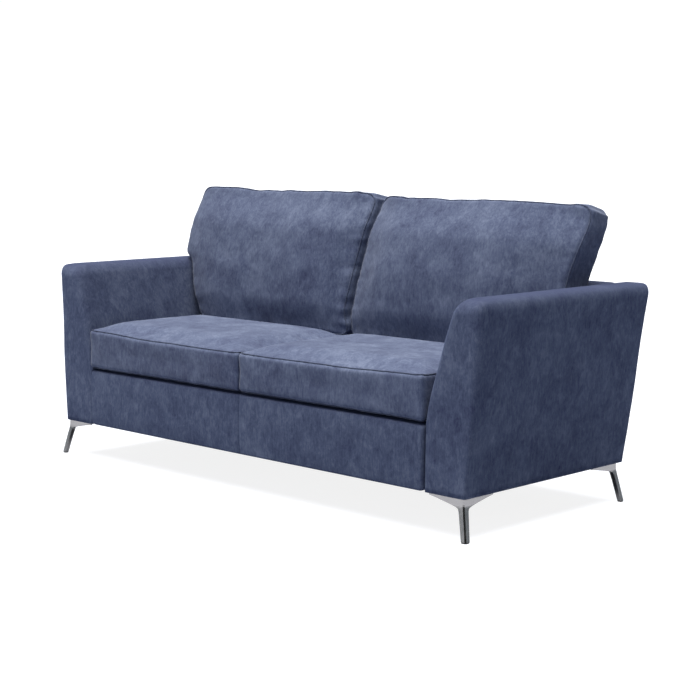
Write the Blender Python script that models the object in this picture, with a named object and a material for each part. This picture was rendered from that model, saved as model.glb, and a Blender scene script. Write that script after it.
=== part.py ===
"""Two-seat pull-out sofa bed: fixed arms, back and seat deck, with a slatted extension that pulls out in front.

Metres, +X along the seat, -Y to the front, +Z up, floor at z = 0.
"""

import math

import bmesh
import bpy
from mathutils import Vector

# ---------------------------------------------------------------- driving sizes
GAP = 0.0003

FLOOR_CLEAR = 0.127
ARM_IN = 0.819
ARM_OUT = 0.978
ARM_TOP = 0.709
ARM_FLARE_IN = 0.099
ARM_FLARE_OUT = 0.050
ARM_FLARE_START = 0.330
ARM_FRONT = -0.432
ARM_FRONT_SET = 0.014
ARM_REAR = 0.362
REAR_LEAN = 0.074
SHELL = 0.009
PLY = 0.018
BOARD_CLEAR = 0.016

SEAT_HALF = 0.815
SEAT_FRONT = -0.435
SEAT_REAR = 0.243
SEAT_BOTTOM = 0.3355
SEAT_TOP = 0.472

LEAN = math.radians(15.0)
BACK_FACE_Y = 0.250
BACK_FACE_Z = 0.450
BACK_TOP = 0.704
CUSHION_T = 0.140
CUSHION_TOP = 0.968
CUSHION_HALF = 0.892
CUSHION_REST = 0.0008
CUSHION_GAP = 0.008

PANEL_IN = 0.797
PANEL_OUT = 0.8150
DECK_Z = 0.3167
SLAT_T = 0.018
SLAT_W = 0.100
SLAT_PITCH = 0.340
TRAVEL = 0.500

RAIL_TOP = 0.330
RAIL_FRONT = -0.435
RAIL_REAR = -0.3960
RAIL_HALF = 0.812

FOLD_X = 0.720
FOLD_Y = -0.3765
FOLD_Z = 0.1918
FOLD_LEN = 0.1882
FOLD_BAR = 0.026

LEG_WING = 0.135
LEG_SPLAY = 0.024
LEG_SPLAY_FRONT = 0.018
LEG_SPLAY_REAR = 0.012
LEG_INSET = 0.008
LEG_FRONT_INSET = 0.007
LEG_REAR_INSET = 0.024
LEG_CHAMFER = 0.0045
GLIDE = 0.0030

for old in list(bpy.data.objects):
    bpy.data.objects.remove(old, do_unlink=True)

COLOURS = {
    "fabric": (0.105, 0.130, 0.225, 1.0),
    "timber": (0.62, 0.45, 0.27, 1.0),
    "ply": (0.70, 0.56, 0.36, 1.0),
    "chrome": (0.80, 0.81, 0.83, 1.0),
    "steel": (0.45, 0.47, 0.50, 1.0),
    "plastic": (0.02, 0.02, 0.022, 1.0),
    "lining": (0.03, 0.03, 0.033, 1.0),
}
ROUGH = {"fabric": 0.9, "timber": 0.6, "ply": 0.6, "chrome": 0.12, "steel": 0.35, "plastic": 0.6, "lining": 0.9}


def material(name, kind):
    """One Principled material for one piece."""
    mat = bpy.data.materials.new(name + "_" + kind)
    mat.use_nodes = True
    shader = mat.node_tree.nodes["Principled BSDF"]
    shader.inputs["Base Color"].default_value = COLOURS[kind]
    shader.inputs["Roughness"].default_value = ROUGH[kind]
    shader.inputs["Metallic"].default_value = 1.0 if kind in ("chrome", "steel") else 0.0
    return mat


def add(name, kind, bm, origin=(0.0, 0.0, 0.0)):
    """Turn a bmesh in world coordinates into a named object whose origin is given."""
    bmesh.ops.recalc_face_normals(bm, faces=bm.faces)
    bmesh.ops.translate(bm, verts=bm.verts, vec=-Vector(origin))
    mesh = bpy.data.meshes.new(name)
    bm.to_mesh(mesh)
    bm.free()
    obj = bpy.data.objects.new(name, mesh)
    obj.location = origin
    mesh.materials.append(material(name, kind))
    bpy.context.scene.collection.objects.link(obj)
    return obj


def loft(bm, rings, closed=False):
    """Skin equal-length rings of points; cap both ends unless the stack closes on itself."""
    rows = [[bm.verts.new(p) for p in ring] for ring in rings]
    count = len(rows[0])
    pairs = list(zip(rows[:-1], rows[1:]))
    if closed:
        pairs.append((rows[-1], rows[0]))
    for low, high in pairs:
        for i in range(count):
            j = (i + 1) % count
            bm.faces.new((low[i], low[j], high[j], high[i]))
    if not closed:
        bm.faces.new(rows[0])
        bm.faces.new(rows[-1])
    return rows


def round_rect(a0, a1, b0, b1, radius, steps=4):
    """Points of a rounded rectangle in its own plane."""
    r = max(min(radius, (a1 - a0) * 0.49, (b1 - b0) * 0.49), 0.0004)
    out = []
    corners = ((a1 - r, b1 - r, 0), (a0 + r, b1 - r, 90), (a0 + r, b0 + r, 180), (a1 - r, b0 + r, 270))
    for ca, cb, start in corners:
        for k in range(steps + 1):
            t = math.radians(start + 90.0 * k / steps)
            out.append((ca + r * math.cos(t), cb + r * math.sin(t)))
    return out


def box(bm, x0, x1, y0, y1, z0, z1):
    """An axis-aligned box."""
    ring = [(x0, y0), (x1, y0), (x1, y1), (x0, y1)]
    loft(bm, [[(x, y, z0) for x, y in ring], [(x, y, z1) for x, y in ring]])


def board(name, kind, x0, x1, y0, y1, z0, z1, ease=0.0015, origin=None):
    """A rectangular board with eased edges."""
    bm = bmesh.new()
    box(bm, x0, x1, y0, y1, z0, z1)
    if ease > 0.0:
        bmesh.ops.bevel(bm, geom=bm.edges[:], offset=ease, segments=1, affect="EDGES", profile=0.5)
    centre = origin or ((x0 + x1) / 2, (y0 + y1) / 2, (z0 + z1) / 2)
    return add(name, kind, bm, centre)


def tube_points(radius, steps=24):
    """Points round a circle."""
    return [
        (radius * math.cos(2 * math.pi * k / steps), radius * math.sin(2 * math.pi * k / steps))
        for k in range(steps)
    ]


def cylinder(bm, axis, centre, radius, low, high, steps=24):
    """A closed cylinder along axis 'x' or 'y' through a centre given in the other two axes."""
    rings = []
    for s in (low, high):
        ring = []
        for a, b in tube_points(radius, steps):
            if axis == "x":
                ring.append((s, centre[0] + a, centre[1] + b))
            else:
                ring.append((centre[0] + a, s, centre[1] + b))
        rings.append(ring)
    loft(bm, rings)


def cutter(name, bm):
    """A hidden body used only to shape another."""
    obj = add(name, "steel", bm)
    obj.hide_render = True
    obj.display_type = "WIRE"
    return obj


def combine(target, tool, operation):
    """Boolean with the exact solver."""
    mod = target.modifiers.new(operation.lower() + "_" + tool.name, "BOOLEAN")
    mod.operation = operation
    mod.solver = "EXACT"
    mod.object = tool


def extrude_profile(bm, points, x0, x1):
    """Extrude a (y, z) outline along X."""
    loft(bm, [[(x0, y, z) for y, z in points], [(x1, y, z) for y, z in points]])


# ---------------------------------------------------------------- shared outlines
def arm_inner(z):
    t = max(0.0, (z - ARM_FLARE_START) / (ARM_TOP - ARM_FLARE_START))
    return ARM_IN + ARM_FLARE_IN * t ** 1.35


def arm_outer(z):
    return ARM_OUT + ARM_FLARE_OUT * (z - FLOOR_CLEAR) / (ARM_TOP - FLOOR_CLEAR)


def front_line(z):
    return ARM_FRONT + ARM_FRONT_SET * (z - FLOOR_CLEAR) / (ARM_TOP - FLOOR_CLEAR)


def rear_line(z):
    return ARM_REAR + REAR_LEAN * (z - FLOOR_CLEAR) / (ARM_TOP - FLOOR_CLEAR)


def back_face(z):
    return BACK_FACE_Y + max(0.0, z - BACK_FACE_Z) * math.tan(LEAN)


TOP_LEVELS = ((0.034, 0.0000), (0.022, 0.0024), (0.0115, 0.0078), (0.0045, 0.0150), (0.0010, 0.0225), (0.0, 0.0300))
ARM_LEVELS = (0.127, 0.180, 0.230, 0.280, 0.330, 0.365, 0.400, 0.435, 0.470, 0.505, 0.540, 0.575, 0.610, 0.640)


def shell_rings(section, levels, top, radius, inset):
    """Rings of a body from its floor-side rim up over a rounded top, all moved in by an inset."""
    rings = []
    for z in levels:
        x0, x1, y0, y1 = section(z)
        pts = round_rect(x0 + inset, x1 - inset, y0 + inset, y1 - inset, radius - inset)
        rings.append([(x, y, z) for x, y in pts])
    for drop, pull in TOP_LEVELS:
        z = top - drop
        x0, x1, y0, y1 = section(z)
        p = pull + inset
        pts = round_rect(x0 + p, x1 - p, y0 + p, y1 - p, max(radius - p, 0.006))
        rings.append([(x, y, z - inset) for x, y in pts])
    return rings


def cup(name, kind, section, levels, top, radius):
    """A padded cover as one shell, open underneath."""
    bm = bmesh.new()
    outer = shell_rings(section, levels, top, radius, 0.0)
    inner = shell_rings(section, levels, top, radius, SHELL)
    count = len(outer[0])
    rows = [[bm.verts.new(p) for p in ring] for ring in list(reversed(outer)) + inner]
    for low, high in zip(rows[:-1], rows[1:]):
        for i in range(count):
            j = (i + 1) % count
            bm.faces.new((low[i], low[j], high[j], high[i]))
    bm.faces.new(rows[0])
    bm.faces.new(rows[-1])
    return add(name, kind, bm)


# ---------------------------------------------------------------- arms
SIDES = (("left", -1.0), ("right", 1.0))


def mirrored(x0, x1, side):
    return (x0, x1) if side > 0 else (-x1, -x0)


for label, side in SIDES:

    def arm_section(z, s=side):
        x0, x1 = mirrored(arm_inner(z), arm_outer(z), s)
        return x0, x1, front_line(z), rear_line(z)

    cup("arm_cover_" + label, "fabric", arm_section, ARM_LEVELS, ARM_TOP, 0.024)

    x0, x1 = mirrored(ARM_IN + BOARD_CLEAR, ARM_OUT - BOARD_CLEAR, side)
    board(
        "arm_bottom_board_" + label, "ply", x0, x1,
        ARM_FRONT + 0.018, ARM_REAR - 0.032, FLOOR_CLEAR, FLOOR_CLEAR + PLY,
    )

    bm = bmesh.new()
    x0, x1 = mirrored(ARM_OUT - BOARD_CLEAR - PLY, ARM_OUT - BOARD_CLEAR, side)
    foot = FLOOR_CLEAR + PLY + GAP
    head = ARM_TOP - 0.047
    outline = [
        (ARM_FRONT + 0.027, foot), (ARM_REAR - 0.037, foot),
        (ARM_REAR + REAR_LEAN - 0.036, head), (ARM_FRONT + 0.034, head),
    ]
    extrude_profile(bm, outline, x0, x1)
    arm_frame = add("arm_frame_" + label, "ply", bm)
    for column, (ya, yb) in (("front", (-0.330, -0.150)), ("middle", (-0.105, 0.075)), ("rear", (0.120, 0.290))):
        for row, (za, zb) in (("low", (0.205, 0.385)), ("high", (0.430, 0.605))):
            cut = bmesh.new()
            box(cut, x0 - 0.01, x1 + 0.01, ya, yb, za, zb)
            tool = cutter("arm_frame_opening_" + column + "_" + row + "_" + label, cut)
            combine(arm_frame, tool, "DIFFERENCE")

# ---------------------------------------------------------------- back
def back_section(z):
    half = arm_inner(z) - 0.003
    return -half, half, back_face(z), rear_line(z)


cup("back_cover", "fabric", back_section, ARM_LEVELS, BACK_TOP, 0.014)
top_half = arm_inner(0.644) - 0.040
board("back_top_rail", "timber", -top_half, top_half, 0.333, 0.412, 0.6440, 0.6620)
board("back_bottom_rail", "timber", -0.790, 0.790, 0.264, 0.330, 0.1300, 0.1500)
for index, x in enumerate((-0.740, 0.0, 0.740)):
    bm = bmesh.new()
    low = [(x - 0.022, 0.2680), (x + 0.022, 0.2680), (x + 0.022, 0.3120), (x - 0.022, 0.3120)]
    high = [(px, py + 0.0720) for px, py in low]
    loft(bm, [[(px, py, 0.1503) for px, py in low], [(px, py, 0.6437) for px, py in high]])
    add("back_post_" + ("left", "centre", "right")[index], "timber", bm)

# ---------------------------------------------------------------- fixed base
for label, side in SIDES:
    x0, x1 = mirrored(PANEL_IN, PANEL_OUT, side)
    board("base_side_panel_" + label, "ply", x0, x1, -0.3850, 0.2460, 0.1310, 0.3130)

bm = bmesh.new()
beam = [
    (-0.7967, 0.1350), (0.7967, 0.1350), (0.7967, 0.2280), (0.7420, 0.2280),
    (0.7420, DECK_Z), (-0.7420, DECK_Z), (-0.7420, 0.2280), (-0.7967, 0.2280),
]
loft(bm, [[(x, -0.3450, z) for x, z in beam], [(x, -0.3170, z) for x, z in beam]])
add("deck_front_beam", "timber", bm)
board("deck_rear_beam", "timber", -0.7967, 0.7967, 0.2165, 0.2400, 0.1350, DECK_Z)
board("dust_cover", "lining", -0.7950, 0.7950, -0.3440, 0.2450, 0.1280, 0.1300, ease=0.0)

for index in range(4):
    x = (index - 1.5) * SLAT_PITCH
    z0 = DECK_Z + GAP
    name = "fixed_slat_" + str(index + 1)
    board(name, "timber", x - SLAT_W / 2, x + SLAT_W / 2, -0.3450, 0.2400, z0, z0 + SLAT_T, ease=0.002)

# ---------------------------------------------------------------- telescopic runners
def channel(name, side, web, wall, reach, z0, z1, y0, y1):
    """A C-channel lying on its side, its web outward."""
    pts = [
        (web, z0), (web, z1), (reach, z1), (reach, z1 - wall),
        (web - wall, z1 - wall), (web - wall, z0 + wall), (reach, z0 + wall), (reach, z0),
    ]
    bm = bmesh.new()
    loft(bm, [[(side * x, y, z) for x, z in pts] for y in (y0, y1)])
    add(name, "steel", bm, (side * web, (y0 + y1) / 2, (z0 + z1) / 2))


for label, side in SIDES:
    channel("runner_outer_" + label, side, 0.7967, 0.0016, 0.7830, 0.2500, 0.2960, -0.3830, 0.1900)
    channel("runner_mid_" + label, side, 0.7935, 0.0016, 0.7815, 0.2535, 0.2925, -0.3820, 0.1880)
    x0, x1 = mirrored(0.7750, 0.7895, side)
    board("runner_inner_" + label, "steel", x0, x1, -0.3890, 0.1850, 0.2590, 0.2870, ease=0.001)

# ---------------------------------------------------------------- pull-out platform
bm = bmesh.new()


def rail_ring(inset, y):
    r = 0.012 - inset * 0.5
    pts = round_rect(-RAIL_HALF + inset, RAIL_HALF - inset, FLOOR_CLEAR + inset, RAIL_TOP - inset, r)
    return [(x, y, z) for x, z in pts]


rings = [
    rail_ring(0.0, RAIL_REAR),
    rail_ring(0.0, RAIL_FRONT + 0.008),
    rail_ring(0.0025, RAIL_FRONT + 0.0023),
    rail_ring(0.0070, RAIL_FRONT),
]
wall = 0.0105
inner = [rail_ring(wall, RAIL_FRONT + wall), rail_ring(wall, RAIL_REAR)]
rows = [[bm.verts.new(p) for p in ring] for ring in rings]
hole = [[bm.verts.new(p) for p in ring] for ring in inner]
count = len(rows[0])
for low, high in list(zip(rows[:-1], rows[1:])) + [(hole[0], hole[1]), (hole[1], rows[0])]:
    for i in range(count):
        j = (i + 1) % count
        bm.faces.new((low[i], low[j], high[j], high[i]))
bm.faces.new(rows[-1])
bm.faces.new(hole[0])
add("front_rail_cover", "fabric", bm, (0.0, RAIL_FRONT, FLOOR_CLEAR))
board("front_rail_core", "ply", -0.7980, 0.7980, -0.4242, -0.3960, 0.1400, 0.3090, ease=0.002)

for label, side in SIDES:
    x0, x1 = mirrored(0.7550, 0.7747, side)
    board("platform_side_rail_" + label, "timber", x0, x1, -0.3955, 0.1865, 0.2350, DECK_Z)
board("platform_ledger", "timber", -0.7547, 0.7547, -0.3955, -0.3670, 0.2800, DECK_Z)
board("platform_rear_tie", "timber", -0.7747, 0.7747, 0.1870, 0.2130, 0.2350, DECK_Z)
for index in range(5):
    x = (index - 2) * SLAT_PITCH
    z0 = DECK_Z + GAP
    name = "platform_slat_" + str(index + 1)
    x0 = x - SLAT_W / 2
    board(name, "timber", x0, x0 + SLAT_W, -0.3920, 0.2130, z0, z0 + SLAT_T, ease=0.002)

for label, side in SIDES:
    pivot = (side * FOLD_X, FOLD_Y, FOLD_Z)
    bm = bmesh.new()
    px0, px1 = side * FOLD_X - 0.022, side * FOLD_X + 0.022
    box(bm, px0, px1, -0.3957, -0.3925, FOLD_Z - 0.022, FOLD_Z + 0.022)
    bracket = add("folding_leg_bracket_" + label, "steel", bm, pivot)
    pin = bmesh.new()
    cylinder(pin, "y", (side * FOLD_X, FOLD_Z), 0.005, -0.3940, -0.3600)
    combine(bracket, cutter("bracket_pin_" + label, pin), "UNION")

    bm = bmesh.new()
    half = FOLD_BAR / 2
    xa = side * (FOLD_X + 0.016)
    xb = side * (FOLD_X - FOLD_LEN)
    box(bm, min(xa, xb), max(xa, xb), FOLD_Y - half, FOLD_Y + half, FOLD_Z - half, FOLD_Z + half)
    bmesh.ops.bevel(bm, geom=bm.edges[:], offset=0.002, segments=1, affect="EDGES", profile=0.5)
    leg = add("folding_leg_" + label, "steel", bm, pivot)
    cut = bmesh.new()
    cylinder(cut, "y", (side * FOLD_X, FOLD_Z), 0.00508, FOLD_Y - 0.03, FOLD_Y + 0.03)
    combine(leg, cutter("folding_leg_bore_" + label, cut), "DIFFERENCE")

    x0, x1 = mirrored(FOLD_X - FOLD_LEN - 0.0032, FOLD_X - FOLD_LEN - GAP, side)
    board(
        "folding_leg_foot_" + label, "plastic", x0, x1,
        FOLD_Y - 0.012, FOLD_Y + 0.012, FOLD_Z - 0.012, FOLD_Z + 0.012, ease=0.0006, origin=pivot,
    )

# ---------------------------------------------------------------- chrome corner legs
# height, reach along each side, thickness there, inner corner, share of the splay
LEG_STEPS = (
    (0.0033, 0.0185, 0.0130, 0.0165, 1.00), (0.0350, 0.0193, 0.0135, 0.0172, 0.70),
    (0.0700, 0.0203, 0.0140, 0.0180, 0.36), (0.0900, 0.0212, 0.0145, 0.0188, 0.16),
    (0.0965, 0.0240, 0.0140, 0.0185, 0.10), (0.1000, 0.0320, 0.0110, 0.0170, 0.07),
    (0.1040, 0.0480, 0.0075, 0.0140, 0.04), (0.1095, 0.0740, 0.0060, 0.0110, 0.02),
    (0.1150, 0.1010, 0.0060, 0.0100, 0.01), (0.1195, 0.1270, 0.0060, 0.0090, 0.0),
    (0.1210, LEG_WING, 0.0060, 0.0090, 0.0), (0.1267, LEG_WING, 0.0060, 0.0090, 0.0),
)
CORNERS = (
    ("front_left", -1.0, -1.0, ARM_FRONT + LEG_FRONT_INSET),
    ("front_right", 1.0, -1.0, ARM_FRONT + LEG_FRONT_INSET),
    ("rear_left", -1.0, 1.0, ARM_REAR - LEG_REAR_INSET),
    ("rear_right", 1.0, 1.0, ARM_REAR - LEG_REAR_INSET),
)
for label, sx, sy, corner_y in CORNERS:
    splay_y = LEG_SPLAY_FRONT if sy < 0 else LEG_SPLAY_REAR
    rings = []
    for z, reach, thick, inner, share in LEG_STEPS:
        cx = (ARM_OUT - LEG_INSET) + LEG_SPLAY * share
        cy = abs(corner_y) + splay_y * share
        shape = [
            (cx - LEG_CHAMFER, cy), (cx, cy - LEG_CHAMFER), (cx, cy - reach), (cx - thick, cy - reach),
            (cx - inner, cy - inner), (cx - reach, cy - thick), (cx - reach, cy),
        ]
        rings.append([(sx * x, sy * y, z) for x, y in shape])
    bm = bmesh.new()
    loft(bm, rings)
    add("corner_leg_" + label, "chrome", bm)
    fx = (ARM_OUT - LEG_INSET) + LEG_SPLAY - 0.0008
    fy = abs(corner_y) + splay_y - 0.0008
    reach = LEG_STEPS[0][1] - 0.0016
    side = reach - 0.0045
    foot = [
        (fx - LEG_CHAMFER, fy), (fx, fy - LEG_CHAMFER), (fx, fy - reach), (fx - side, fy - reach),
        (fx - reach, fy - side), (fx - reach, fy),
    ]
    bm = bmesh.new()
    loft(bm, [[(sx * x, sy * y, z) for x, y in foot] for z in (0.0, GLIDE)])
    add("leg_glide_" + label, "plastic", bm)

# ---------------------------------------------------------------- seat cushions
def pillow_rings(span, section, ends, radius):
    """Rings of a soft block along one axis, rounded at both ends."""
    s0, s1 = span
    rings = []
    for k in range(5):
        t = math.radians(90.0 * k / 4)
        pull = ends * (1 - math.sin(t))
        rings.append((s0 + ends * (1 - math.cos(t)), pull))
    rings = rings[:-1] + [(s0 + ends, 0.0), ((s0 + s1) / 2, 0.0), (s1 - ends, 0.0)]
    tail = []
    for k in range(5):
        t = math.radians(90.0 * k / 4)
        tail.append((s1 - ends * (1 - math.cos(t)), ends * (1 - math.sin(t))))
    rings += list(reversed(tail[:-1]))
    out = []
    for s, pull in rings:
        a0, a1, b0, b1 = section(s)
        pts = round_rect(a0 + pull, a1 - pull, b0 + pull, b1 - pull, max(radius - pull, 0.002))
        out.append((s, pts))
    return out


for label, side in SIDES:
    x0, x1 = mirrored(0.0030, SEAT_HALF, side)

    def seat_section(x):
        return SEAT_FRONT, SEAT_REAR, SEAT_BOTTOM, SEAT_TOP

    bm = bmesh.new()
    rings = pillow_rings((x0, x1), seat_section, 0.014, 0.014)
    loft(bm, [[(x, y, z) for y, z in pts] for x, pts in rings])
    add("seat_cushion_" + label, "fabric", bm, ((x0 + x1) / 2, (SEAT_FRONT + SEAT_REAR) / 2, SEAT_BOTTOM))

# ---------------------------------------------------------------- back cushions
NORMAL = Vector((0.0, math.cos(LEAN), -math.sin(LEAN)))
RISE = Vector((0.0, math.sin(LEAN), math.cos(LEAN)))
REST_Z = SEAT_TOP + CUSHION_REST
REAR_Y = back_face(REST_Z) - CUSHION_GAP / math.cos(LEAN)
FRONT_BOTTOM = Vector((0.0, REAR_Y - CUSHION_T / math.cos(LEAN), REST_Z))
CUSHION_H = (CUSHION_TOP - REST_Z) / math.cos(LEAN)
FOOT_BLEND = 0.120


def cushion_side(v):
    """Half width of the pair at a height along the cushion, clear of the flaring arms."""
    z = REST_Z + v * math.cos(LEAN) - CUSHION_T * math.sin(LEAN)
    return min(CUSHION_HALF, arm_inner(z) - 0.004)


def cushion_point(x, n, v):
    """A point of a back cushion: n through its thickness, v up its face, the foot cut level."""
    level = n * math.tan(LEAN) * max(0.0, 1.0 - v / FOOT_BLEND)
    return Vector((x, 0.0, 0.0)) + FRONT_BOTTOM + NORMAL * n + RISE * (v + level)


for label, side in SIDES:
    end = 0.016
    steps = []
    for k in range(4):
        t = math.radians(90.0 * k / 4)
        steps.append((end * (1 - math.cos(t)), end * (1 - math.sin(t))))
    tail = [(CUSHION_H - v, p) for v, p in reversed(steps)]
    steps += [(end, 0.0), (0.05, 0.0), (0.09, 0.0), (0.13, 0.0), (0.17, 0.0), (0.21, 0.0), (0.26, 0.0)]
    steps += [(0.34, 0.0), (CUSHION_H - end, 0.0)] + tail
    rings = []
    for v, pull in steps:
        x0, x1 = mirrored(0.0030, cushion_side(v), side)
        pts = round_rect(x0 + pull, x1 - pull, pull, CUSHION_T - pull, max(0.016 - pull, 0.002))
        rings.append([cushion_point(x, n, v) for x, n in pts])
    bm = bmesh.new()
    loft(bm, rings)
    add("back_cushion_" + label, "fabric", bm, (side * 0.440, FRONT_BOTTOM.y, REST_Z))
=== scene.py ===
"""Looks for the two-seat pull-out sofa bed: velour, cushions, wood, steel and chrome."""
import math

import bpy
import numpy as np
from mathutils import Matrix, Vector, noise


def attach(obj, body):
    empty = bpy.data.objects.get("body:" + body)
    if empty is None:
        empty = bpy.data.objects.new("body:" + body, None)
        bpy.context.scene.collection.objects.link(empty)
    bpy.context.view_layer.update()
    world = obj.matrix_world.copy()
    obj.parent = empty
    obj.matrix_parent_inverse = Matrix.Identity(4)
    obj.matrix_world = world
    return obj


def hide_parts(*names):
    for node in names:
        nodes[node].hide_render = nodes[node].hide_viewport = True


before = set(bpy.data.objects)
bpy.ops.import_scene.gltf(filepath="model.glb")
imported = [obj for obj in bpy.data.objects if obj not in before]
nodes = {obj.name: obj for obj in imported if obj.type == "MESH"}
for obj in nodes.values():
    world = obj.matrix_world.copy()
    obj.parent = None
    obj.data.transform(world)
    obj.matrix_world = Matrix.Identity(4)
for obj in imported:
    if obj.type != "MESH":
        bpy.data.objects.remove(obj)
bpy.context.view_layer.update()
scene = bpy.context.scene

# ---------------------------------------------------------------- outlines shared with the CAD
FLOOR_CLEAR = 0.127
ARM_IN = 0.819
ARM_OUT = 0.978
ARM_TOP = 0.709
ARM_FLARE_IN = 0.099
ARM_FLARE_OUT = 0.050
ARM_FLARE_START = 0.330  # height where the inner faces of the arms begin to flare
ARM_FRONT = -0.432
ARM_FRONT_SET = 0.014
ARM_REAR = 0.362
REAR_LEAN = 0.074
SHELL = 0.009  # thickness of a fixed cover
SEAT_FRONT = -0.435
SEAT_REAR = 0.243
SEAT_BOTTOM = 0.3355
SEAT_TOP = 0.472
LEAN = math.radians(15.0)  # the backrest and its cushions lean back by this much
BACK_FACE_Y = 0.250
BACK_FACE_Z = 0.450
BACK_TOP = 0.704
CUSHION_T = 0.140
CUSHION_TOP = 0.968
CUSHION_HALF = 0.892
RAIL_FRONT = -0.435
RAIL_REAR = -0.3960
RAIL_TOP = 0.330
RAIL_HALF = 0.812


def arm_inner(z):
    """How far the arm's inner face is from the middle of the sofa."""
    t = max(0.0, (z - ARM_FLARE_START) / (ARM_TOP - ARM_FLARE_START))
    return ARM_IN + ARM_FLARE_IN * t ** 1.35


def arm_outer(z):
    """How far the arm's outer face is from the middle of the sofa."""
    return ARM_OUT + ARM_FLARE_OUT * (z - FLOOR_CLEAR) / (ARM_TOP - FLOOR_CLEAR)


def front_line(z):
    """The arm's front edge."""
    return ARM_FRONT + ARM_FRONT_SET * (z - FLOOR_CLEAR) / (ARM_TOP - FLOOR_CLEAR)


def rear_line(z):
    """The rear edge of the arms and the back."""
    return ARM_REAR + REAR_LEAN * (z - FLOOR_CLEAR) / (ARM_TOP - FLOOR_CLEAR)


def back_face(z):
    """The front of the backrest, which leans above the seat."""
    return BACK_FACE_Y + max(0.0, z - BACK_FACE_Z) * math.tan(LEAN)


def smooth(t):
    """An eased step from 0 to 1."""
    t = min(1.0, max(0.0, t))
    return t * t * (3.0 - 2.0 * t)


# ---------------------------------------------------------------- camera and light
CAMERA_PLACE = (3.908, -3.882, 1.1515)
CAMERA_TARGET = (0.0834, 0.0053, 0.4443)
SUN_PLACE = (-0.30, -0.42, 4.0)
SUN_COLOUR = (1.0, 0.950, 0.845)
FILL_PLACE = (-2.2, -5.0, 1.9)
FILL_TARGET = (0.0, -0.2, 0.5)
SKY_COLOUR = (0.74, 0.86, 1.0, 1.0)
SKY_STRENGTH = 0.20
FLAG_TOWARD = (0.704, -0.704, 0.09)  # a dark panel in the studio, mirrored by the chrome
FLAG_COLOUR = (0.03, 0.03, 0.03, 1.0)


def place_object(data, location, target):
    """Put a camera or a light in the scene and turn it towards a point."""
    obj = bpy.data.objects.new(data.name, data)
    obj.location = location
    scene.collection.objects.link(obj)
    obj.rotation_euler = (Vector(target) - obj.location).to_track_quat("-Z", "Y").to_euler()
    return obj


cam_data = bpy.data.cameras.new("camera")
cam_data.sensor_width = 36.0
cam_data.lens = 81.8
cam_data.clip_end = 60.0
scene.camera = place_object(cam_data, CAMERA_PLACE, CAMERA_TARGET)

sun = bpy.data.lights.new("overhead", "SUN")
sun.energy = 7.6
sun.angle = math.radians(58.0)
sun.color = SUN_COLOUR
place_object(sun, SUN_PLACE, (0.0, 0.0, 0.0))

fill = bpy.data.lights.new("front_fill", "AREA")
fill.shape = "RECTANGLE"
fill.size = 2.4
fill.size_y = 2.0
fill.energy = 26.0
fill.color = (1.0, 1.0, 1.0)
place_object(fill, FILL_PLACE, FILL_TARGET)


def studio_world():
    """A dim cool sky with one dark panel, and plain white where the camera sees it."""
    world = bpy.data.worlds.new("studio")
    world.use_nodes = True
    tree = world.node_tree
    link = tree.links.new
    sky = tree.nodes["Background"]
    sky.inputs["Strength"].default_value = SKY_STRENGTH
    direction = tree.nodes.new("ShaderNodeTexCoord")
    toward = tree.nodes.new("ShaderNodeVectorMath")
    toward.operation = "DOT_PRODUCT"
    toward.inputs[1].default_value = FLAG_TOWARD
    flag = tree.nodes.new("ShaderNodeValToRGB")
    outside, inside = flag.color_ramp.elements
    outside.position = 0.90
    outside.color = SKY_COLOUR
    inside.position = 0.955
    inside.color = FLAG_COLOUR
    link(direction.outputs["Generated"], toward.inputs[0])
    link(toward.outputs["Value"], flag.inputs["Fac"])
    link(flag.outputs["Color"], sky.inputs["Color"])
    white = tree.nodes.new("ShaderNodeBackground")
    white.inputs["Color"].default_value = (1.0, 1.0, 1.0, 1.0)
    white.inputs["Strength"].default_value = 1.02
    seen = tree.nodes.new("ShaderNodeLightPath")
    pick = tree.nodes.new("ShaderNodeMixShader")
    link(seen.outputs["Is Camera Ray"], pick.inputs[0])
    link(sky.outputs[0], pick.inputs[1])
    link(white.outputs[0], pick.inputs[2])
    link(pick.outputs[0], tree.nodes["World Output"].inputs["Surface"])
    return world


scene.world = studio_world()
scene.view_settings.view_transform = "Standard"


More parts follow.
